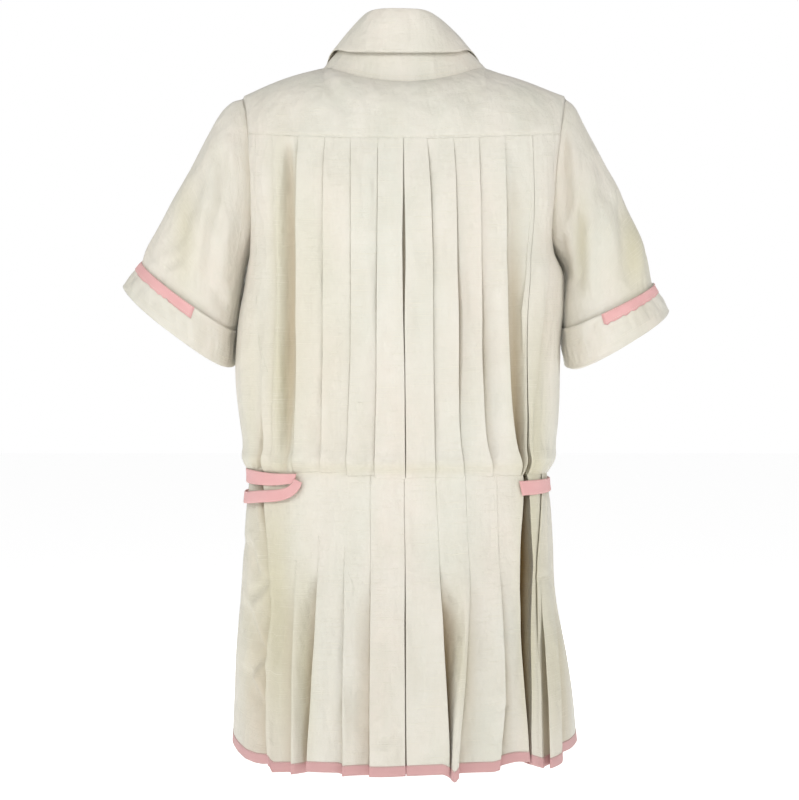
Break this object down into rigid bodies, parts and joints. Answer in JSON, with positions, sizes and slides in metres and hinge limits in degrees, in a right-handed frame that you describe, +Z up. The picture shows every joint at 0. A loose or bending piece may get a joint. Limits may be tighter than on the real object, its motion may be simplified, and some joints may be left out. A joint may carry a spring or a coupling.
{
  "type": "short-sleeved pleated silk mini dress",
  "caption": "Hollow, filled-out silk shirt dress with a folded collar, turned-up cuffs, a knife-pleated bodice and skirt joined at a dropped waist, and pink tape trim.",
  "frame": {"origin": "middle of the neck opening at the height of the shoulders' neck points, where the wearer's neck and shoulders carry the dress", "axes": "+Z up, -Y the way the wearer faces, +X the wearer's left"},
  "size_m": [0.6469, 0.3236, 0.873],
  "materials": {
    "silk": "ivory slub silk with a soft sheen",
    "tape": "matt pink cotton-silk tape",
    "button": "pearly shirt buttons"
  },
  "bodies": {
    "root": {"back_yoke": "silk", "back_bodice": "silk", "front_yoke_left": "silk", "front_yoke_right": "silk", "front_bodice_left": "silk", "front_bodice_right": "silk", "front_placket": "silk", "button_1": "button", "button_2": "button", "button_3": "button", "button_4": "button", "button_5": "button", "collar_stand": "silk", "collar_leaf": "silk", "sleeve_left": "silk", "sleeve_right": "silk", "cuff_left": "silk", "cuff_right": "silk", "cuff_strip_left": "tape", "cuff_strip_right": "tape", "skirt_back": "silk", "skirt_front": "silk", "hem_binding_back": "tape", "hem_binding_front": "tape", "waist_tape_left_upper": "tape", "waist_tape_left_lower": "tape", "waist_tape_right": "tape"}
  },
  "joints": []
}
